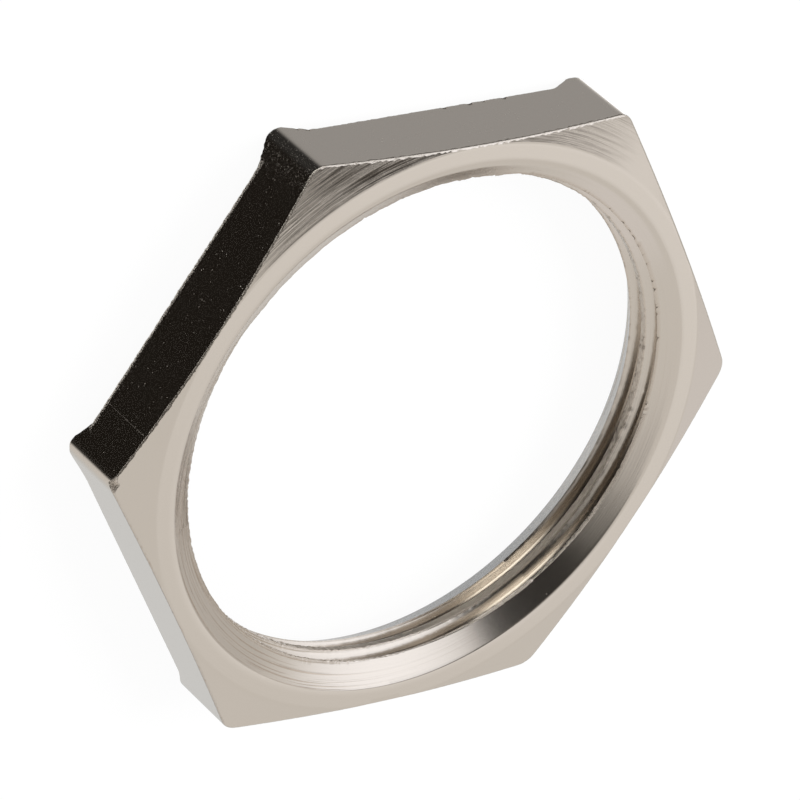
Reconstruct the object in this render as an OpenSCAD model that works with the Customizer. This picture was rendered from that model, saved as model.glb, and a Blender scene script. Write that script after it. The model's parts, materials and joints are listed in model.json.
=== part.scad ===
// Hexagon locknut for a metric cable gland, turned and tapped from hexagon bar.
// It lies as it comes to rest, on the six raised corners of its back, with the
// chamfered front up. The origin is in the middle of the surface that it lies on.
// All lengths are in millimetres and all angles are in degrees.

/* [Thread] */
// Nominal diameter of the thread, at the bottom of its groove
thread_d = 32; // [16:0.5:63]
// Distance from one turn of the thread to the next
thread_pitch = 1.5; // [1:0.25:2]
// Depth of the tapped thread, in percent of the full standard form
thread_depth_share = 75; // [60:5:100]
// Width that the groove has beyond the standard form, so that the plated thread runs freely
thread_play = 0.1; // [0:0.02:0.16]
// Direction in which the groove passes the surface that the nut lies on
thread_turn = 82; // [-180:1:180]

/* [Hexagon] */
// Metal between the thread and the middle of each flat, which sets the spanner size
flat_wall = 2; // [1.5:0.1:6]
// Radius that rounds the six upright edges
edge_r = 1.1; // [0.3:0.1:1.6]

/* [Body] */
// Thickness from the flat back to the flat front ring
body_h = 4.5; // [3.5:0.25:9]
// How far beyond the flats the front corner chamfer starts
chamfer_start = 0; // [0:0.05:0.6]
// Slope of the front corner chamfer, measured from the face
chamfer_angle = 13; // [8:1:20]
// Radius of the soft turn from the front ring into the corner chamfer
chamfer_blend = 1; // [0.5:0.25:3]

/* [Countersinks] */
// How far the front countersink reaches beyond the thread
front_sink = 0.75; // [0.1:0.05:0.9]
// Slope of the front countersink, measured from the face
front_sink_angle = 30; // [25:1:45]
// How far the back countersink reaches beyond the thread
back_sink = 0.25; // [0.1:0.05:0.6]
// Slope of the back countersink, measured from the face
back_sink_angle = 60; // [30:1:60]

/* [Raised corners] */
// Height by which each back corner stands proud of the flat back
horn_h = 0.8; // [0.3:0.1:1.2]
// Width of a raised corner, from its foot out to its tip
horn_w = 0.85; // [0.4:0.05:1.2]
// Width of the narrow flat on top of a raised corner, which is what the nut lies on
horn_flat_w = 0.08; // [0.02:0.02:0.3]

/* [Hidden] */
$fn = 180;
hexagon_sides = 6;
// Steps of the drawn curves: the blend and one turn of the groove
blend_steps = 5;
turn_steps = 60;
// Rounding circles are small, so they need fewer sides than the bore
edge_fn = 48;
// How far the blank reaches past the sharp corners, before the flats cut it
spare = 1;

// Heights above the surface that the nut lies on
back_z = horn_h;
front_z = back_z + body_h;

// Radii of the hexagon: to the flats, at the sharp corner and at the rounded tip
flat_r = thread_d / 2 + flat_wall;
corner_r = flat_r / cos(180 / hexagon_sides);
tip_r = corner_r - edge_r * (1 / cos(180 / hexagon_sides) - 1);

// The standard 60 degree thread form: full depth, bore at the crests and width of the root
flank_angle = 30;
full_depth = 0.625 * thread_pitch * cos(flank_angle);
minor_r = thread_d / 2 - full_depth * thread_depth_share / 100;
groove_root_w = thread_pitch / 8 + thread_play;
// The tap's outline reaches inside the bore by this much, so that it cuts the crests cleanly
tap_reach = 0.2;

// The countersinks run from their rims at the faces to the bore at the crests
front_sink_r = thread_d / 2 + front_sink;
front_sink_z = front_z - (front_sink_r - minor_r) * tan(front_sink_angle);
back_sink_r = thread_d / 2 + back_sink;
back_sink_z = back_z + (back_sink_r - minor_r) * tan(back_sink_angle);

// The blend is an arc that touches the flat ring and the chamfer
chamfer_r = flat_r + chamfer_start;
blend_reach = chamfer_blend * tan(chamfer_angle / 2);
blank_r = corner_r + spare;

// A point of the blend, from 0 on the flat ring to 1 on the chamfer
function blend_point(t) =
    let (a = t * chamfer_angle)
    [chamfer_r - blend_reach + chamfer_blend * sin(a),
     front_z - chamfer_blend * (1 - cos(a))];

// Half a section through the blank that comes off the lathe, from the bore outwards
function blank_outline() = concat(
    [[minor_r, front_sink_z], [front_sink_r, front_z]],
    [for (i = [0 : blend_steps]) blend_point(i / blend_steps)],
    [[blank_r, front_z - (blank_r - chamfer_r) * tan(chamfer_angle)], [blank_r, 0]],
    [[tip_r - horn_flat_w, 0], [tip_r - horn_w, back_z]],
    [[back_sink_r, back_z], [minor_r, back_sink_z]]
);

// Section of the groove, with its middle on the height 0, in order round its four corners
function groove_outline() =
    let (r0 = minor_r - tap_reach,
         r1 = thread_d / 2,
         w1 = groove_root_w / 2,
         w0 = w1 + (r1 - r0) * tan(flank_angle))
    [[r0, -w0], [r1, -w1], [r1, w1], [r0, w0]];

// Bar with six flats whose upright edges are rounded by true cylinders
module hexagon_bar() {
    centre_r = corner_r - edge_r / cos(180 / hexagon_sides);
    touch = edge_r * tan(180 / hexagon_sides);
    linear_extrude(front_z) {
        polygon([
            for (i = [0 : hexagon_sides - 1], side = [-1, 1])
                let (flat = (i + side / 2) * 360 / hexagon_sides,
                     along = -side * (corner_r / 2 - touch))
                [flat_r * cos(flat) - along * sin(flat),
                 flat_r * sin(flat) + along * cos(flat)]
        ]);
        for (i = [0 : hexagon_sides - 1])
            rotate(i * 360 / hexagon_sides)
                translate([centre_r, 0])
                    circle(r = edge_r, $fn = edge_fn);
    }
}

// Everything that the lathe cuts: bore, countersinks, front ring, chamfer and raised rim
module turned_blank() {
    rotate_extrude()
        polygon(blank_outline());
}

// The helical groove of a right-hand thread, long enough to run out of both faces
module thread_groove() {
    outline = groove_outline();
    corners = len(outline);
    turns = ceil((front_z + 2 * thread_pitch) / thread_pitch);
    rings = turns * turn_steps;
    points = [
        for (i = [0 : rings], p = outline)
            let (a = thread_turn + i * 360 / turn_steps)
            [p.x * cos(a), p.x * sin(a), p.y + (i / turn_steps - 1) * thread_pitch]
    ];
    sides = [
        for (i = [0 : rings - 1], j = [0 : corners - 1])
            let (a = i * corners + j,
                 b = i * corners + (j + 1) % corners,
                 c = a + corners,
                 d = b + corners)
            each [[a, b, c], [b, d, c]]
    ];
    ends = [
        [0, 2, 1], [0, 3, 2],
        for (f = [[0, 1, 2], [0, 2, 3]]) [for (k = f) rings * corners + k]
    ];
    polyhedron(points, concat(sides, ends));
}

module locknut() {
    color([0.80, 0.77, 0.71])
        difference() {
            intersection() {
                hexagon_bar();
                turned_blank();
            }
            thread_groove();
        }
}

locknut();
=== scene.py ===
# %% [markdown]
# # A cable gland locknut in nickel
# The real nut is one slice of brass hexagon bar. A lathe faces it, chamfers its corners and
# countersinks its bore, a tap cuts the fine thread, and a bath of nickel covers it all.
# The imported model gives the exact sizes. This script dresses it: one closed skin with the
# finer edges, the torn thread crests and the dents, and a plated finish with its tool marks.

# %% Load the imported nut
import json
import math
from collections import defaultdict

import bmesh
import bpy
from mathutils import Matrix, Vector, noise


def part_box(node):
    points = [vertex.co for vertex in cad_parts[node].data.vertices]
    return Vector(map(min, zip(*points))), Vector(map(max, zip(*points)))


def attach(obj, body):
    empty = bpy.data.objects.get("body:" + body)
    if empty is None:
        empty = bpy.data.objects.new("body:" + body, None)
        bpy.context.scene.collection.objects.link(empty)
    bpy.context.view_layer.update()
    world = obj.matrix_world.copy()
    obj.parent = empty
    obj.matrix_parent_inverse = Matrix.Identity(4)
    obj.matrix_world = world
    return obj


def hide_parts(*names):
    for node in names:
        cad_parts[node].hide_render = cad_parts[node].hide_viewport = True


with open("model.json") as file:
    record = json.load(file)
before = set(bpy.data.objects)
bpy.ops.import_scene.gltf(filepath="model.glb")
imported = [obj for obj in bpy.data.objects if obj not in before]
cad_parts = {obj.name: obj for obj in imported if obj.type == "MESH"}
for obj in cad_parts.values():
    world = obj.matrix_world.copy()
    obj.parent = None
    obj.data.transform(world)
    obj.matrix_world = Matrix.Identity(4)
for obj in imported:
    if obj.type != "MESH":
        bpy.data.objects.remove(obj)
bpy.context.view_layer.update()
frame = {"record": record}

# %% [markdown]
# ## Sizes
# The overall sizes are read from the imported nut, so that the skin can't drift from it. The box
# gives the corner tips, the flats and the front, and the record's mounts give the bore over
# the thread crests and the height of the flat back. The rest are the maker's own sizes.
# The script works in millimetres and scales the finished mesh once, at the end.

# %% Read the driving sizes
MM = 0.001
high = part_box("locknut")[1]
mounts = {mount["name"]: mount for mount in frame["record"]["mounts"]}

tip_r = high.x / MM
flat_r = high.y / MM
front_z = high.z / MM
back_z = mounts["back_face"]["pos_m"][2] / MM
crest_r = mounts["thread"]["dims"]["r_mm"]
corner_r = flat_r / math.cos(math.radians(30))
edge_r = (corner_r - tip_r) / (1 / math.cos(math.radians(30)) - 1)
print(f"tips {tip_r:.3f}, flats {flat_r:.3f}, front {front_z:.3f}, back {back_z:.3f}")
print(f"crests {crest_r:.3f}, upright edges rounded to {edge_r:.2f}")

# %% [markdown]
# ## The camera
# The photograph looks down into the nut from its upper left, with a long lens and the camera
# turned on its side. A camera can be placed by its three angles, but an eye, an aim and a roll
# are easier to read: the eye is where the lens stands, and the aim is the middle of the nut.

# %% Place the camera
EYE = Vector((-211.8276, 190.7887, 273.1834)) * MM
AIM = Vector((-0.5239, 0.5324, 2.65)) * MM
ROLL = math.radians(131.52878)
LENS = 316.015
SENSOR = 36

back = (EYE - AIM).normalized()
level = Vector((0, 0, 1)).cross(back).normalized()
right = Matrix.Rotation(ROLL, 3, back) @ level
lens = bpy.data.cameras.new("camera")
lens.lens, lens.sensor_width = LENS, SENSOR
camera = bpy.data.objects.new("camera", lens)
turned = Matrix((right, back.cross(right), back)).transposed()
camera.matrix_world = Matrix.Translation(EYE) @ turned.to_4x4()
bpy.context.scene.collection.objects.link(camera)
bpy.context.scene.camera = camera
print(f"camera {(EYE - AIM).length / MM:.0f} mm away")

# %% [markdown]
# ## The outline of the hexagon
# A six sided bar can be made by bevelling the upright edges of a prism. Here the lathe's round
# skin is made first, and the flats are then pressed into it, as milling would. For that, one
# function gives how far the bar reaches in any direction: a flat, or a rounded edge near a corner.

# %% Measure the bar in any direction
SIDE = math.radians(60)


def bar_reach(angle):
    """Distance from the axis to the bar's side, towards an angle."""
    off = abs((angle + SIDE / 2) % SIDE - SIDE / 2)
    centre = corner_r - edge_r / math.cos(SIDE / 2)
    touch = math.atan2(edge_r * math.sin(SIDE / 2), centre + edge_r * math.cos(SIDE / 2))
    if off > touch:
        return flat_r / math.cos(SIDE / 2 - off)
    return centre * math.cos(off) + math.sqrt(edge_r ** 2 - (centre * math.sin(off)) ** 2)


print("reach at a corner and at a flat:", round(bar_reach(0), 3), round(bar_reach(SIDE / 2), 3))

# %% [markdown]
# ## The front and the back
# Each face is a height for every distance from the axis. The front is a flat ring that turns
# softly down into a shallow cone, which takes the sharpness off the corners. The lathe held
# the bar a tenth of a millimetre off its middle, so the cone sits a little to one side.
# The back is flat, and slopes out at each corner to a raised tooth. The teeth were left by the
# tool that faced the back, and no two of them are quite alike: some tips are worn down.

# %% Give the heights of both faces
CHAMFER_ANGLE = math.radians(13)
CHAMFER_BLEND = 1.0
LATHE_OFFSET = Vector((-0.02, -0.10))
# Radius at the foot and at the crest of each corner's tooth, and how far its tip is worn
TEETH_BY_CORNER = {0: (19.77, 20.53, 0), 60: (19.64, 20.26, 0), 120: (19.75, 20.53, 0),
                   180: (19.83, 20.56, 0.08), 240: (19.83, 20.56, 0.12), 300: (19.77, 20.53, 0)}
FOOT_SOFT = 0.16
CREST_SOFT = 0.07
TOOTH_ROUGH = 0.025

chamfer_r = flat_r
blend_reach = CHAMFER_BLEND * math.tan(CHAMFER_ANGLE / 2)


def ragged(angle, along, scale, seed):
    """Seeded noise from -1 to 1 along a line round the nut."""
    place = Vector((math.cos(angle), math.sin(angle), 0)) * scale + Vector((0, 0, along + seed))
    return noise.noise(place) + 0.5 * noise.noise(place * 2.3)


def eased(value, soft):
    """The value where it is above 0 and else 0, with a soft turn between the two."""
    if value >= soft:
        return value
    return max(value + soft, 0) ** 2 / (4 * soft)


def lathe_shift(angle):
    """How far the circles that the front was turned to lie out of the middle, towards an angle."""
    return LATHE_OFFSET.x * math.cos(angle) + LATHE_OFFSET.y * math.sin(angle)


def front_height(radius, angle):
    past = radius - lathe_shift(angle) - chamfer_r
    if past > blend_reach:
        return front_z - past * math.tan(CHAMFER_ANGLE)
    past = max(past + blend_reach, 0)
    return front_z - CHAMFER_BLEND * (1 - math.sqrt(1 - (past / CHAMFER_BLEND) ** 2))


def tooth_of(angle):
    """Foot, crest and wear of the tooth at the corner that is nearest to an angle."""
    return TEETH_BY_CORNER[round(math.degrees(angle) / 60) % 6 * 60]


def back_height(radius, angle):
    foot, crest, worn = tooth_of(angle)
    slope = back_z / (crest - foot)
    rise = eased((radius - foot) * slope, FOOT_SOFT)
    rise += min(rise, 0.3) * TOOTH_ROUGH / 0.3 * ragged(angle, radius * 4, 70, 8)
    top = back_z - worn
    return back_z - top + eased(top - rise, CREST_SOFT)


print("front at a corner:", round(front_height(tip_r, 0), 3), "back there:", back_height(tip_r, 0))

# %% [markdown]
# ## The section that is spun
# The outside is drawn once as a line of points from the front rim to the back rim, and spun
# round the axis. Each point carries its number in that line, in a layer of the mesh, because
# the spin copies layers. So every copy knows its zone and can be set in its own place later.
# Narrow rows beside each rounded edge keep the soft shading of the edge off the flat faces.

# %% List the points of the section
COLUMNS = 960
FRONT_RADII = (17.2, 17.5, 17.8, 17.88, 17.93, 17.98, 18.03, 18.08, 18.14, 18.25)
CHAMFER_SHARES = (0.35, 0.7, 0.96, 1.0)
EDGE_STEPS = 5
SIDE_SHARES = (0.01, 0.5, 0.96, 0.99, 1.0)
TOOTH_STEPS = 9
BACK_STEPS = 3
RIM, FRONT, CHAMFER, FRONT_EDGE, SIDE_WALL, BACK_EDGE, TOOTH, BACK = range(8)


def shares(zone, steps, first=1):
    return [(zone, step / steps) for step in range(first, steps + 1)]


section = [(RIM, 0.0)] + [(FRONT, radius) for radius in FRONT_RADII]
section += [(CHAMFER, share) for share in CHAMFER_SHARES] + shares(FRONT_EDGE, EDGE_STEPS)
section += [(SIDE_WALL, share) for share in SIDE_SHARES] + shares(BACK_EDGE, 2)
section += shares(TOOTH, TOOTH_STEPS) + shares(BACK, BACK_STEPS)
print(len(section), "points in the section")

# %% [markdown]
# ## Worn and burred edges
# The photograph shows a different edge on each flat. One has a bright ragged burr, its
# neighbour a finer one, and the third is nearly even. Small seeded noise along each edge makes
# the burr, so that the light breaks up along the line as it does on the real one. A few knocks
# roll an edge further over: one dents a corner, and six leave nicks in a back edge, which get
# painted shade, nearly black.

# %% Describe the edges
EDGE_ROUND = {90: 0.1, 150: 0.1, 210: 0.1, 270: 0.12, 330: 0.12, 30: 0.12}
EDGE_RAGGED = {90: 0.12, 150: 0.07, 210: 0.04, 270: 0.02, 330: 0.02, 30: 0.02}
EDGE_GRAIN = 110
BACK_ROUND = {90: 0.06, 150: 0.11, 210: 0.06, 270: 0.06, 330: 0.06, 30: 0.06}
BACK_RAGGED = 0.8
# Knocks: direction, half width in degrees, and how much further the edge is rolled over there
FRONT_KNOCKS = {"dent at the corner": (179.9, 1.3, 0.34)}
BACK_KNOCKS = {"first": (115.2, 0.5, 0.14), "second": (116.6, 0.4, 0.1), "third": (88.6, 0.7, 0.1),
               "fourth": (83.3, 0.8, 0.13), "fifth": (80.4, 0.5, 0.08), "sixth": (76.2, 0.8, 0.12)}


def by_flat(values, angle):
    """A value that belongs to a flat, blended over the few degrees round each corner."""
    turn = math.degrees(angle) % 360
    nearest = min(values, key=lambda flat: abs((turn - flat + 180) % 360 - 180))
    away = (turn - nearest + 180) % 360 - 180
    other = values[(nearest + math.copysign(60, away)) % 360] if away else values[nearest]
    mix = max(abs(away) - 28, 0) / 4
    return values[nearest] * (1 - mix) + other * mix


def knocked(knocks, angle):
    """How far the knocks roll an edge over, towards an angle."""
    depth = 0
    for turn, half, most in knocks.values():
        away = abs((math.degrees(angle) - turn + 180) % 360 - 180) / half
        depth += most * eased(1 - away, 0.3)
    return depth


def front_edge(angle):
    """Radius that the front edge is rolled over with."""
    burr = by_flat(EDGE_RAGGED, angle) * ragged(angle, 0, EDGE_GRAIN, 3)
    return max(by_flat(EDGE_ROUND, angle) + burr, 0.04) + knocked(FRONT_KNOCKS, angle)


def back_edge(angle):
    """Radius that the back edge is rolled over with."""
    size = by_flat(BACK_ROUND, angle) * (1 + BACK_RAGGED * ragged(angle, 0, EDGE_GRAIN, 4))
    return max(size, 0.02) + knocked(BACK_KNOCKS, angle)


print("edge rounding at 90, 119 and 150 degrees:",
      [round(by_flat(EDGE_ROUND, math.radians(turn)), 3) for turn in (90, 119, 150)])

# %% [markdown]
# ## The countersinks
# A countersink is a cone that opens towards a face. The front one is shallow and wide, and it
# was cut from the same setting as the chamfer, so its rim is off centre too. Polishing has
# rounded that rim, more on one side than on the other. The back cone is steep and narrow.

# %% Give the two cones
FRONT_RIM = 16.79
FRONT_CONE = math.radians(30)
FRONT_SLOPE = math.tan(FRONT_CONE)
BACK_RIM = 16.25
BACK_SLOPE = math.tan(math.radians(60))
RIM_ROUND, RIM_UNEVEN = 0.46, 0.42
ROUNDEST = math.radians(60)


def front_rim(angle):
    return FRONT_RIM + lathe_shift(angle)


def rim_point(share, angle):
    """A point of the rounded rim, from 0 on the cone to 1 on the flat ring."""
    size = RIM_ROUND + RIM_UNEVEN * math.cos(angle - ROUNDEST)
    turn = FRONT_CONE * (1 - share)
    return (front_rim(angle) + size * (math.tan(FRONT_CONE / 2) - math.sin(turn)),
            front_z - size * (1 - math.cos(turn)))


def front_cone(height, angle):
    """Radius of the front countersink at a height."""
    return front_rim(angle) - (front_z - height) / FRONT_SLOPE


def cone_radius(height, angle):
    """Radius to which the two countersinks clear the bore at a height."""
    return max(front_cone(height, angle), BACK_RIM - (height - back_z) / BACK_SLOPE)


print("front cone meets the crests at", round(front_z - (FRONT_RIM - crest_r) * FRONT_SLOPE, 3))

# %% [markdown]
# ## Setting the outside in place
# With the zones known, each point's place follows from the bar's reach in its direction: the
# ring keeps its radius, and the chamfer, the edge and the side shrink with the bar. Where a
# flat comes closer than a ring's radius, the points fall together and are merged afterwards.

# %% Place a point of the outside
def outside_point(zone, share, angle):
    """Radius and height of one point of the section, towards an angle."""
    reach = bar_reach(angle)
    edge, under = front_edge(angle), back_edge(angle)
    inner = reach - edge
    edge_z = front_height(reach, angle)
    foot_z = back_height(reach, angle)
    if zone == RIM:
        return rim_point(1, angle)
    if zone == FRONT:
        radius = min(share + lathe_shift(angle), inner)
        return radius, front_height(radius, angle)
    if zone == CHAMFER:
        start = min(FRONT_RADII[-1] + lathe_shift(angle), inner)
        radius = start + (inner - start) * share
        return radius, front_height(radius, angle)
    if zone == FRONT_EDGE:
        turn = share * math.pi / 2
        return inner + edge * math.sin(turn), edge_z - edge * (1 - math.cos(turn))
    if zone == SIDE_WALL:
        top, bottom = edge_z - edge, foot_z + under
        return reach, top + (bottom - top) * share
    start = reach - under
    if zone == BACK_EDGE:
        turn = share * math.pi / 2
        height = foot_z + (back_height(start, angle) - foot_z) * share
        return reach - under * (1 - math.cos(turn)), height + under * (1 - math.sin(turn))
    foot = min(tooth_of(angle)[0] - FOOT_SOFT, start - 0.05)
    if zone == TOOTH:
        radius = start + (foot - start) * share
        return radius, back_height(radius, angle)
    return foot + (BACK_RIM - foot) * share, back_z


print("a point half way down a flat:", outside_point(SIDE_WALL, 0.5, SIDE / 2))

# %% [markdown]
# ## Spinning
# A lathe turns the bar against a still tool. The Spin operator does the same with a line of
# points: it copies the line step by step round the axis and joins the copies with faces. Given
# a rise as well, it makes a helix. One function serves for both the outside and the thread.

# %% Spin a line of points
STEP = math.tau / COLUMNS
SECTORS = 6
MERGE = 0.004


def column_of(point):
    """Number of the spun column that a point belongs to."""
    return round(math.atan2(point.y, point.x) / STEP) % COLUMNS


def at(radius, column, height):
    angle = column * STEP
    return Vector((radius * math.cos(angle), radius * math.sin(angle), height))


def spun(points, rise=0.0):
    """A line of (radius, height) points spun once round, rising by a length in a full turn.

    It is done in six sectors, because one long spin slows down as its mesh grows."""
    whole = bmesh.new()
    sector = bpy.data.meshes.new("sector")
    for sixth in range(SECTORS):
        part = bmesh.new()
        row = part.verts.layers.int.new("row")
        part.verts.layers.float.new("torn_and_nick_shade")
        lift = rise * sixth / SECTORS
        line = [part.verts.new((radius, 0, height + lift)) for radius, height in points]
        for number, vert in enumerate(line):
            vert[row] = number
        edges = [part.edges.new(pair) for pair in zip(line, line[1:])]
        bmesh.ops.rotate(part, verts=line, cent=(0, 0, 0),
                         matrix=Matrix.Rotation(sixth * SIDE, 3, "Z"))
        bmesh.ops.spin(part, geom=line + edges, cent=(0, 0, 0), axis=(0, 0, 1),
                       dvec=(0, 0, rise / COLUMNS), angle=math.tau / SECTORS,
                       steps=COLUMNS // SECTORS, use_merge=False)
        part.to_mesh(sector)
        whole.from_mesh(sector)
        part.free()
    bpy.data.meshes.remove(sector)
    bmesh.ops.remove_doubles(whole, verts=whole.verts, dist=MERGE)
    return whole


print("a full turn is", SECTORS, "sectors of", COLUMNS // SECTORS, "steps")

# %% Spin the outside and press the flats
# How torn the metal looks for each millimetre of a knock, and at most: above 1 it is painted shade that
# makes a nick nearly black
DENT_TORN, DENT_MOST = 3, 0.8
NICK_TORN_AND_SHADE, NICK_SHADE_MOST = 30, 2
BESIDE_EDGE = 0.98

shell = spun([outside_point(zone, share, 0) for zone, share in section])
row = shell.verts.layers.int["row"]
torn_and_shade_layer = shell.verts.layers.float["torn_and_nick_shade"]
for vert in shell.verts:
    column = column_of(vert.co)
    zone, share = section[vert[row]]
    radius, height = outside_point(zone, share, column * STEP)
    vert.co = at(radius, column, height)
    if zone == FRONT_EDGE:
        vert[torn_and_shade_layer] = min(knocked(FRONT_KNOCKS, column * STEP) * DENT_TORN, DENT_MOST)
    # The knocks in the back edge set painted shade into their nicks
    if zone == BACK_EDGE or zone == SIDE_WALL and share > BESIDE_EDGE:
        vert[torn_and_shade_layer] = min(knocked(BACK_KNOCKS, column * STEP) * NICK_TORN_AND_SHADE, NICK_SHADE_MOST)
print("outside:", len(shell.verts), "points")

# %% [markdown]
# ## The thread
# A thread is a section that climbs as it turns. The Screw modifier can make one, and so can a
# boolean with a helix, but neither follows the countersinks. Here the section of four and a
# bit turns is spun with a rise of one pitch, so each turn's end meets the next turn's start.
# The tap tore a little off the underside of every crest, so the crests are narrower here.

# %% Draw the thread's section
PITCH = 1.5
ROOT_R = 16.0
ROOT_W = 0.2875
FLANK = math.tan(math.radians(30))
CREST_TORN = 0.16
GROOVE_TURN = math.radians(82)
CREST_STEPS = 6
UPPER_STEPS = 6
ROOT_STEPS = 2
LOWER_STEPS = 4

groove_z = -GROOVE_TURN / math.tau * PITCH
half_root = ROOT_W / 2
half_mouth = half_root + (ROOT_R - crest_r) * FLANK
turn_corners = [(-PITCH / 2, crest_r), (-half_mouth, crest_r), (-half_root, ROOT_R),
                (half_root, ROOT_R), (half_mouth + CREST_TORN, crest_r), (PITCH / 2, crest_r)]
turn_steps = (CREST_STEPS // 2, LOWER_STEPS, ROOT_STEPS, UPPER_STEPS, CREST_STEPS // 2)
one_turn = []
for (z0, r0), (z1, r1), steps in zip(turn_corners, turn_corners[1:], turn_steps):
    one_turn += [(z0 + (z1 - z0) * k / steps, r0 + (r1 - r0) * k / steps) for k in range(steps)]
thread = [(groove_z + turn * PITCH + z, r) for turn in range(-1, 6) for z, r in one_turn]
BELOW, ABOVE = 0.1, 0.45
thread = [(z, r) for z, r in thread if back_z - PITCH - BELOW < z < front_z + ABOVE]
print(len(thread), "points from", round(thread[0][0], 2), "to", round(thread[-1][0], 2))

# %% Spin it with a rise
bore = spun([(radius, height) for height, radius in thread], PITCH)
columns = defaultdict(list)
for vert in bore.verts:
    columns[column_of(vert.co)].append(vert)
print("bore:", len(bore.verts), "points in", len(columns), "columns")

# %% [markdown]
# ## Torn crests
# The tap tore the brass rather than cutting it clean. The crests are rough, and the thin
# edge left between the front countersink and the thread is broken back on one side and
# rolled into the bore as ragged teeth on the other, with small nicks in between that carry
# painted shade, nearly black. The helix decides where that edge runs, so each column of the
# mesh is cut at its own height.

# %% Describe the torn lip
TORN = {"from": -68, "to": -32, "back": 0.14, "under": 0.2}
NICKED = {"from": 8, "to": 60, "deep": 0.14}
TEETH = {"from": 80, "to": 146, "in": 0.3}


def window(turn, start, stop, soft):
    """1 between two directions, falling to 0 over a few degrees at both ends."""
    inside = min(turn - start, stop - turn) / soft
    return min(max(inside + 0.5, 0), 1)


def nick_of(angle):
    """Depth of the small nicks in the thin edge, towards an angle."""
    return max(ragged(angle, 0, 45, 13) - 0.15, 0)


def turn_of(angle):
    """An angle in degrees, from -180 to 180."""
    return (math.degrees(angle) + 180) % 360 - 180


def lip_radius(radius, angle):
    """Where the thin edge under the front countersink ends, after tearing."""
    turn = turn_of(angle)
    tooth = 0.75 + 0.3 * ragged(angle, 0, 20, 11) + 0.2 * ragged(angle, 0, 95, 12)
    notch = max(ragged(angle, 0, 60, 15) - 0.45, 0)
    radius -= window(turn, TEETH["from"], TEETH["to"], 6) * TEETH["in"] * (tooth - notch)
    radius += window(turn, TORN["from"], TORN["to"], 5) * TORN["back"] * (0.7 + ragged(angle, 0, 110, 14))
    return radius + NICKED["deep"] * nick_of(angle)


def lip_wear_and_shade(angle):
    """How torn the thin edge looks: 1 is torn, and above 1 it is painted shade that makes a nick nearly
    black.
    """
    turn = turn_of(angle)
    # Painted shade: between 8 and 60 degrees the nicks get values above 1
    dark = min(nick_of(angle) * 5, 1) * window(turn, NICKED["from"], NICKED["to"], 4)
    return 1 - 0.6 * window(turn, TEETH["from"], TEETH["to"], 6) + dark


print("lip at 100 degrees:", round(lip_radius(15.87, math.radians(100)), 3))

# %% Cut one column of the thread
CREST_ROUGH = 0.05
CREST_BAND = 0.05
RIM_STEPS = 3
CUT_TORN = 0.5
LIP_TORN = 0.9


def crest_weight(radius):
    """1 on a crest, falling to 0 just outside it."""
    return max(0, 1 - (radius - crest_r) / CREST_BAND)


def roughened(spot, angle):
    """Height, radius, reach of the countersinks and roughness of a point of the thread."""
    radius = math.hypot(spot.x, spot.y)
    rough = crest_weight(radius)
    radius += rough * CREST_ROUGH * (0.6 + ragged(angle, spot.z * 9, 90, 5))
    return spot.z, radius, cone_radius(spot.z, angle), rough


def cut_column(places, angle):
    """Radius, height and roughness of a column's points, once both countersinks are cut."""
    settled = []
    rim_z = rim_point(0, angle)[1]
    rim_step = 0
    for height, radius, cone, rough in places:
        if height >= rim_z:
            settled.append((*rim_point(min(rim_step / RIM_STEPS, 1), angle), 0))
            rim_step += 1
        elif height <= back_z:
            settled.append((BACK_RIM, back_z, 0))
        elif cone > radius:
            settled.append((cone, height, 0))
        else:
            settled.append((radius, height, rough))
    for below in range(len(places) - 1):
        z0, r0, c0, _ = places[below]
        z1, r1, c1, _ = places[below + 1]
        gap0, gap1 = r0 - c0, r1 - c1
        if gap0 * gap1 >= 0 or z1 >= rim_z or z0 <= back_z:
            continue
        share = gap0 / (gap0 - gap1)
        height = z0 + (z1 - z0) * share
        radius = r0 + (r1 - r0) * share
        cut = below if gap0 < 0 else below + 1
        if gap0 < 0 or abs(front_cone(height, angle) - radius) >= 0.02:
            settled[cut] = (radius, height, CUT_TORN)
            continue
        radius = lip_radius(radius, angle)
        height = front_z - (front_rim(angle) - radius) * FRONT_SLOPE
        settled[cut] = (radius, height, lip_wear_and_shade(angle))
        shred = LIP_TORN * window(turn_of(angle), TORN["from"], TORN["to"], 8)
        for lower in range(below):
            near = max(1 - (z0 - settled[lower][1]) / TORN["under"], 0)
            rough = max(settled[lower][2], shred * min(near * 2, 1))
            settled[lower] = (*settled[lower][:2], rough)
    return settled


print("a crest is roughened by up to about", CREST_ROUGH, "mm")

# %% Cut the countersinks through the thread
torn_and_shade_layer = bore.verts.layers.float["torn_and_nick_shade"]
for column, verts in columns.items():
    angle = column * STEP
    verts.sort(key=lambda vert: vert.co.z)
    places = [roughened(vert.co, angle) for vert in verts]
    for vert, (radius, height, rough) in zip(verts, cut_column(places, angle)):
        vert.co = at(radius, column, height)
        vert[torn_and_shade_layer] = rough
print("countersinks cut in", len(columns), "columns")

# %% [markdown]
# ## One closed skin
# The two spun sheets meet at the front rim and the back rim, where their points fall on each
# other. Merging the doubles closes the skin, and only then are its faces turned outwards,
# because the recalculation needs a closed shell. The count of open edges proves it.

# %% Join, merge and close
skin = bpy.data.meshes.new("locknut_skin")
bore.to_mesh(skin)
whole = bmesh.new()
whole.from_mesh(skin)
shell.to_mesh(skin)
whole.from_mesh(skin)
shell.free()
bore.free()
bmesh.ops.remove_doubles(whole, verts=whole.verts, dist=MERGE)
bmesh.ops.dissolve_degenerate(whole, edges=whole.edges, dist=MERGE / 4)
bmesh.ops.recalc_face_normals(whole, faces=whole.faces)
open_edges = sum(not edge.is_manifold for edge in whole.edges)
triangles = sum(len(face.verts) - 2 for face in whole.faces)
volume = whole.calc_volume(signed=True)
print(f"{triangles} triangles, {open_edges} open edges, {volume:.1f} cubic millimetres")

# %% Scale to metres and shade
SHARP = math.radians(27)

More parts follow.
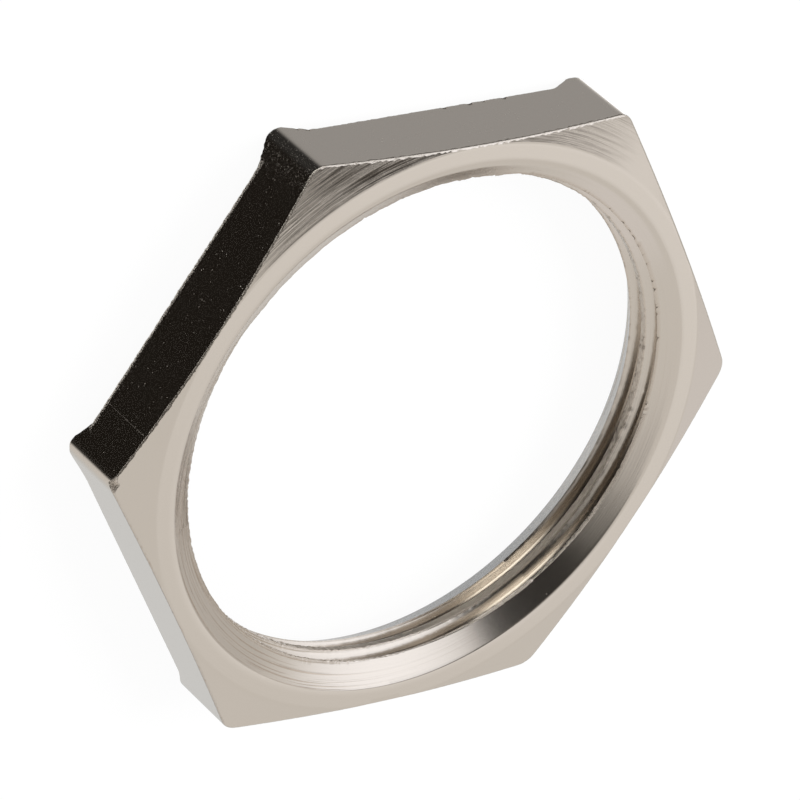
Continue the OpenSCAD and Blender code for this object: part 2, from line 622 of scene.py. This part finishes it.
bmesh.ops.scale(whole, vec=(MM, MM, MM), verts=whole.verts)
for face in whole.faces:
    face.smooth = True
whole.to_mesh(skin)
whole.free()
skin.set_sharp_from_angle(angle=SHARP)
nut = bpy.data.objects.new("locknut_skin", skin)
bpy.context.scene.collection.objects.link(nut)
print("skin made, metres:", [round(side, 5) for side in nut.dimensions])

# %% [markdown]
# ## Writing a material as sums
# A material's pattern is arithmetic on places, and arithmetic reads best as sums. This class
# wraps a node's socket, so that plus, minus and times add Math nodes by themselves. Any other
# node comes from one method, which takes its type, its settings and what goes into its sockets.

# %% Wrap a socket
def math_method(operation, reflected=False):
    """A method that adds the Math node of an operator."""
    def method(self, *others):
        given = (*others, self) if reflected else (self, *others)
        return self.graph.node("ShaderNodeMath", {"operation": operation}, given)
    return method


class Value:
    """A number that changes over the surface: the output socket of a node."""

    def __init__(self, graph, socket):
        self.graph, self.socket = graph, socket

    __add__ = __radd__ = math_method("ADD")
    __mul__ = __rmul__ = math_method("MULTIPLY")
    __sub__ = math_method("SUBTRACT")
    __rsub__ = math_method("SUBTRACT", reflected=True)
    __truediv__ = math_method("DIVIDE")
    __abs__ = math_method("ABSOLUTE")

    def out(self, name):
        """Another output of the same node."""
        return Value(self.graph, self.socket.node.outputs[name])

    def rise(self, low, high):
        """0 below low, 1 above high, and smooth between them."""
        return self.graph.node("ShaderNodeMapRange", {"interpolation_type": "SMOOTHSTEP"},
                               {"Value": self, "From Min": low, "From Max": high})

    def band(self, low, full, still, high):
        """0 below low, 1 from full to still, and 0 again above high."""
        return self.rise(low, full) * (1 - self.rise(still, high))


class Graph:
    """The nodes of one material or world."""

    def __init__(self, owner):
        owner.use_nodes = True
        self.tree = owner.node_tree
        self.tree.nodes.clear()

    def node(self, kind, settings=None, inputs=(), output=0):
        """A new node, as the value that one of its outputs gives."""
        made = self.tree.nodes.new(kind)
        for name, setting in (settings or {}).items():
            setattr(made, name, setting)
        pairs = inputs.items() if isinstance(inputs, dict) else enumerate(inputs)
        for key, given in pairs:
            if isinstance(given, Value):
                self.tree.links.new(given.socket, made.inputs[key])
            else:
                made.inputs[key].default_value = given
        return Value(self, made.outputs[output]) if made.outputs else None

    def mix(self, share, one, two):
        """One colour turning into another."""
        return self.node("ShaderNodeMix", {"data_type": "RGBA"}, {0: share, 6: one, 7: two}, 2)

    def noise(self, place, scale, detail=2.0, roughness=0.5):
        inputs = {"Vector": place, "Scale": scale, "Detail": detail, "Roughness": roughness}
        return self.node("ShaderNodeTexNoise", None, inputs)


print("helpers for materials are ready")

# %% [markdown]
# ## The nickel finish
# Nickel is a warm, pale metal. On this nut it is thin, so every mark of the tool shows
# through: fine rings on the faces that were turned, coarser ones on two corners where the tool
# chattered, and pits and specks on the bar's own flats. All are patterns on Object coordinates,
# in millimetres, and each is kept to its part of the nut by a mask that runs from 0 to 1.

# %% Measure places on the surface
plating = bpy.data.materials.new("nickel_plated_brass")
graph = Graph(plating)
place = graph.node("ShaderNodeTexCoord", output="Object")
spot = graph.node("ShaderNodeVectorMath", {"operation": "SCALE"}, {0: place, "Scale": 1 / MM})
x = graph.node("ShaderNodeSeparateXYZ", None, [spot])
y, z = x.out("Y"), x.out("Z")
off_centre = graph.node("ShaderNodeCombineXYZ", None, [x - LATHE_OFFSET.x, y - LATHE_OFFSET.y, 0.0])
radius = graph.node("ShaderNodeVectorMath", {"operation": "LENGTH"}, [off_centre], "Value")
normal = graph.node("ShaderNodeNewGeometry", output="Normal")
facing_x = graph.node("ShaderNodeSeparateXYZ", None, [normal])
facing_y, facing = facing_x.out("Y"), facing_x.out("Z")
upward = facing.rise(0.75, 0.9)
on_side = 1 - upward
# Torn metal up to 1; above 1 the attribute is painted shade that turns a nick nearly black
torn_and_nick_shade = graph.node("ShaderNodeAttribute", {"attribute_name": "torn_and_nick_shade"}, {}, "Fac")


def along_side(turn):
    """Distance from the axis, measured only in one direction, which is given in degrees."""
    return x * math.cos(math.radians(turn)) + y * math.sin(math.radians(turn))


def towards_side(turn):
    """Cosine of the angle between a place's direction from the axis and a given one."""
    return along_side(turn) / radius


def turned_noise(round_scale, across_scale, detail, roughness):
    """Noise that the lathe has drawn out into rings."""
    place = graph.node("ShaderNodeCombineXYZ", None,
                       [x / radius * round_scale, y / radius * round_scale, radius * across_scale])
    return graph.noise(place, 1.0, detail, roughness)


print("nodes that measure places:", len(graph.tree.nodes))

# %% Rings of the turning tool
LEFT_CORNER, RIGHT_CORNER = 119, 76
CHATTER_FULL, CHATTER_GONE = math.cos(math.radians(12)), math.cos(math.radians(24))
LINED_SIDE = -160

rings = turned_noise(2.0, 9.0, 3.0, 0.6)
coarse = turned_noise(3.0, 9.0, 3.0, 0.7)


def near_corner(turn):
    """Mask of the chamfer at one corner."""
    near = towards_side(turn).rise(CHATTER_GONE, CHATTER_FULL)
    return near * radius.rise(chamfer_r + 0.02, chamfer_r + 0.08) * upward


at_left, at_right = near_corner(LEFT_CORNER), near_corner(RIGHT_CORNER)
chatter = at_left + at_right * 0.7
# Painted shade in the chatter marks, darkest where the left corner meets the grey flat, which faces along
# Y
beside_grey = y.rise(16.0, 17.6)
chatter_shade = at_left * (1 - coarse.rise(0.4, 0.58)) * (0.3 + beside_grey * 0.6)
chatter_shade = chatter_shade + at_left * beside_grey * 0.3
chatter_shade = chatter_shade + at_right * (1 - coarse.rise(0.4, 0.56)) * 0.3
on_cone = facing.band(0.76, 0.82, 0.90, 0.94)
lined = towards_side(LINED_SIDE).rise(0.35, 0.8)
grooves = turned_noise(1.5, 15.0, 2.0, 0.5).rise(0.55, 0.62) * on_cone * (0.08 + lined * 0.92)
print("nodes with the rings:", len(graph.tree.nodes))

# %% [markdown]
# ## Specks and edges
# The darkest flat is a black mirror, so it shows each speck of dust and each pit as a light
# dot, and one straight scratch. A cell texture gives the specks, one in each cell, and its
# colour picks the cells that have one. The edges catch the light in short broken lines.

# %% Specks, dust and a scratch
DARK_FLAT = 150
SCRATCH_AT = 7.02
DUSTIEST_AT = -9.6

cells = graph.node("ShaderNodeTexVoronoi", None, {"Vector": spot, "Scale": 5.0}, "Distance")
chance = graph.node("ShaderNodeSeparateColor", None, [cells.out("Color")])
strewn = graph.noise(spot, 0.7, 2.0).rise(0.42, 0.62) * 0.85 + 0.15
specks = (1 - cells.rise(0.08, 0.2)) * chance.rise(0.55, 1.0) * strewn
fine = graph.noise(spot, 9.0, 4.0, 0.65)
dust = graph.noise(spot, 7.0, 4.0, 0.75)
broken = graph.noise(spot, 12.0, 3.0, 0.7)

dark_turn = math.radians(DARK_FLAT)
on_dark = (facing_x * math.cos(dark_turn) + facing_y * math.sin(dark_turn)).rise(0.985, 0.998)
off_dark, along_dark = along_side(DARK_FLAT), along_side(DARK_FLAT + 90)
scratch = (1 - abs(along_dark - SCRATCH_AT).rise(0.0, 0.04)) * on_dark * fine.rise(0.3, 0.6)
dustiest = (1 - abs(along_dark - DUSTIEST_AT).rise(0.3, 1.6)) * on_side
dusty = dust.rise(0.66, 0.74) * on_side * 0.5 + dust.rise(0.52, 0.7) * dustiest * 0.4
marks = specks * (0.25 + on_side * 0.75) + dusty + scratch * 0.4
by_back_edge = (1 - z.rise(0.95, 1.12)) * (1 - abs(along_dark).rise(8.4, 9.0))
marks = marks + by_back_edge * off_dark.rise(17.8, 17.9) * broken.rise(0.5, 0.56)
print("nodes with the specks:", len(graph.tree.nodes))

# %% Edges, burrs, and painted shade in the nicks and beside two burrs
TORN_SIDE = -50
BRIGHT_FLAT = 210

on_edge = facing.band(0.1, 0.3, 0.74, 0.84)
under_edge = facing.band(-0.8, -0.6, -0.15, -0.05)
# Painted shade: a thin broken dark line along the front edges of the grey flat and the bright flat,
# beside their burrs
shaded_edge_line = facing.band(0.03, 0.1, 0.25, 0.45)
torn_side = towards_side(TORN_SIDE).rise(0.85, 0.97)
burred = at_left * y.rise(16.8, 17.7) + on_edge * 1.5 + under_edge * 1.5
dotted_edge_shade = y.rise(17.4, 17.8) * broken.rise(0.36, 0.46)
dotted_edge_shade = dotted_edge_shade + along_side(BRIGHT_FLAT).rise(17.4, 17.8) * broken.rise(0.46, 0.54)
# The dark mask is painted shade: in the nicks, beside two burrs and in the chatter marks
dark = torn_and_nick_shade.rise(1.1, 1.7) + shaded_edge_line * dotted_edge_shade * 0.9 + chatter_shade
bright_edge = on_edge * off_dark.rise(17.5, 17.8) * broken.rise(0.48, 0.58)
print("nodes with the edges:", len(graph.tree.nodes))

# %% [markdown]
# ## Joining the patterns
# The patterns meet in three places. A relief, in millimetres, bumps the surface. A colour makes
# torn metal duller, and paints shade nearly black into the nicks, beside two burrs and into
# the chatter marks. A roughness blurs what the marks and the torn metal mirror, which is what
# turns a speck on the black mirror into a light dot.

# %% Join the patterns
NICKEL = (0.66, 0.595, 0.52, 1)
DULL_NICKEL = (0.52, 0.43, 0.34, 1)
PAINTED_SHADE = (0.12, 0.10, 0.08, 1)

relief = rings * upward * 0.0008 + rings * on_cone * 0.002 - grooves * 0.006
relief = relief + coarse * chatter * 0.032 + fine * 0.0006 + marks * 0.004
relief = relief + broken * (torn_and_nick_shade * (0.02 + torn_side * 0.04) + burred * 0.02)
bump = graph.node("ShaderNodeBump", None, {"Strength": 1.0, "Distance": MM, "Height": relief})
colour = graph.mix(torn_and_nick_shade * 0.5 + grooves * 0.9, NICKEL, DULL_NICKEL)
# Painted shade: the near-black colour goes into the nicks, beside two burrs and into the chatter marks
colour = graph.mix(dark, colour, PAINTED_SHADE)
rough = 0.16 + fine * 0.05 + torn_and_nick_shade * (0.1 + torn_side * 0.15) + (marks + bright_edge * 0.9) * 0.45
shader = graph.node("ShaderNodeBsdfPrincipled", None,
                    {"Base Color": colour, "Metallic": 1.0, "Roughness": rough, "Normal": bump})
graph.node("ShaderNodeOutputMaterial", None, [shader])
skin.materials.append(plating)
print("nodes in the finish:", len(graph.tree.nodes))

# %% [markdown]
# ## The floor
# The photograph's ground is plain white. The floor is an ordinary pale surface, mixed with a
# white that only the camera sees. The mix keeps the nut's shadow as a faint one. The metal
# mirrors the surroundings instead of the floor, as if the nut stood clear of it.

# %% Lay the floor
FLOOR_SIZE = 3.0
SHADOW_SHARE = 0.06
PAPER = (0.9, 0.9, 0.9, 1)
WHITE = (1, 1, 1, 1)

floor_mesh = bpy.data.meshes.new("floor")
sheet = bmesh.new()
bmesh.ops.create_grid(sheet, x_segments=1, y_segments=1, size=FLOOR_SIZE)
sheet.to_mesh(floor_mesh)
sheet.free()
floor = bpy.data.objects.new("floor", floor_mesh)
bpy.context.scene.collection.objects.link(floor)
paper = bpy.data.materials.new("white_paper")
graph = Graph(paper)
rays = graph.node("ShaderNodeLightPath", output="Is Camera Ray")
seen = rays + rays.out("Is Glossy Ray") + rays.out("Is Transmission Ray")
pale = graph.node("ShaderNodeBsdfDiffuse", None, {"Color": PAPER})
white = graph.node("ShaderNodeEmission", None, {"Color": WHITE, "Strength": 1.0})
shader = graph.node("ShaderNodeMixShader", None, [seen * (1 - SHADOW_SHARE), pale, white])
graph.node("ShaderNodeOutputMaterial", None, [shader])
floor_mesh.materials.append(paper)
floor.visible_glossy = False
print("floor laid,", 2 * FLOOR_SIZE, "m across")

# %% [markdown]
# ## What the metal mirrors
# Bare metal has no colour of its own shade: it shows what stands round it. A studio sets white
# screens, a lamp and a few dark cards round such a part. Here they are soft patches of the
# world, each a direction, a width and a tone, and the camera sees plain white behind them.

# %% Set the screens and cards
WHITE_SCREEN = (0.79, 0.785, 0.78, 1)
SOFT_LIGHT = 0.9


def towards(azimuth, elevation):
    """The direction that an azimuth and an elevation in degrees give."""
    a, e = math.radians(azimuth), math.radians(elevation)
    return Vector((math.cos(a) * math.cos(e), math.sin(a) * math.cos(e), math.sin(e)))


SURROUNDINGS = [
    # name, azimuth, elevation, full within, gone beyond, colour
    ("screen behind the ring", -23, 46, 10, 17, (1.03, 1.035, 1.06)),
    ("screen behind the right corner", -28, 15, 4, 16, (0.85, 0.845, 0.87)),
    ("screen low in front", -82, 22, 8, 20, (0.87, 0.865, 0.885)),
    ("gap between the screens", -4, 9, 19, 24, (0.63, 0.62, 0.61)),
    ("shade overhead", 175, 86, 5, 15.5, (0.07, 0.07, 0.065)),
    ("edge of the dark card", 6.5, 60.7, 1, 25, (0.15, 0.145, 0.13)),
    ("dark card beside it", 5, 66, 5, 17, (0.04, 0.035, 0.03)),
    ("lamp", 45, 41, 12.6, 32.8, (1.42, 1.47, 1.59)),
    ("dark card overhead", 97, 74.5, 12.4, 15, (0.01, 0.009, 0.008)),
    ("black card on the left", 170, 28, 31, 52, (0.03, 0.025, 0.02)),
    ("its lower half", 164, -40, 25, 35, (0.012, 0.01, 0.008)),
    ("dark gap behind", 98, -46, 19, 41, (0.03, 0.03, 0.03)),
    ("dark gap over the grey card", 57, -8, 14, 26, (0.12, 0.12, 0.12)),
    ("grey card behind", 44, -43, 4, 29, (0.41, 0.415, 0.425)),
    ("cool screen below", -74, -43, 19, 39, (0.745, 0.77, 0.79)),
    ("gap in front", -105, 0, 12, 26, (0.55, 0.54, 0.53)),
    ("low lamp on the right", -11, -44, 4, 12, (1.55, 1.62, 1.75)),
    ("low lamp at the back", 118, -5, 16, 23, (2.6, 2.7, 2.7)),
    ("dark slot behind", 90, -5, 10, 14, (0.01, 0.01, 0.01)),
    ("bluish ground", -27, -80, 16, 32, (0.55, 0.60, 0.66)),
    ("low lamp on the left", 195, -70, 9, 15, (1.6, 1.6, 1.6)),
]
world = bpy.data.worlds.new("studio")
bpy.context.scene.world = world
graph = Graph(world)
direction = graph.node("ShaderNodeTexCoord", output="Generated")
tone = WHITE_SCREEN
for name, azimuth, elevation, full, gone, patch in SURROUNDINGS:
    nearness = graph.node("ShaderNodeVectorMath", {"operation": "DOT_PRODUCT"},
                          [direction, towards(azimuth, elevation)], "Value")
    share = nearness.rise(math.cos(math.radians(gone)), math.cos(math.radians(full)))
    tone = graph.mix(share, tone, (*patch, 1))
rays = graph.node("ShaderNodeLightPath", output="Is Camera Ray")
mirrored = rays.out("Is Glossy Ray") + rays.out("Is Transmission Ray")
behind = graph.mix(rays, tone, WHITE)
soft = graph.node("ShaderNodeBackground", None, {"Color": WHITE, "Strength": SOFT_LIGHT})
shown = graph.node("ShaderNodeBackground", None, {"Color": behind, "Strength": 1.0})
shader = graph.node("ShaderNodeMixShader", None, [rays + mirrored, soft, shown])
graph.node("ShaderNodeOutputWorld", None, [shader])
print(len(SURROUNDINGS), "patches round the nut")

# %% A soft lamp for the shadow
LAMP_AT = (25, 50)
LAMP_SIZE = 0.5
LAMP_AWAY = 0.9
LAMP_POWER = 6.0

glow = bpy.data.lights.new("soft_lamp", "AREA")
glow.shape, glow.size, glow.energy = "SQUARE", LAMP_SIZE, LAMP_POWER
lamp = bpy.data.objects.new("soft_lamp", glow)
aim = towards(*LAMP_AT)
turned = aim.to_track_quat("Z", "Y").to_matrix()
lamp.matrix_world = Matrix.Translation(aim * LAMP_AWAY) @ turned.to_4x4()
lamp.visible_glossy = False
lamp.visible_camera = False
bpy.context.scene.collection.objects.link(lamp)
bpy.context.scene.view_settings.view_transform = "Standard"
print("lamp", LAMP_AWAY, "m away")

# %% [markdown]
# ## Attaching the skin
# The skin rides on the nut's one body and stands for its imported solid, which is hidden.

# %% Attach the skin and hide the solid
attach(nut, "root")
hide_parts("locknut")
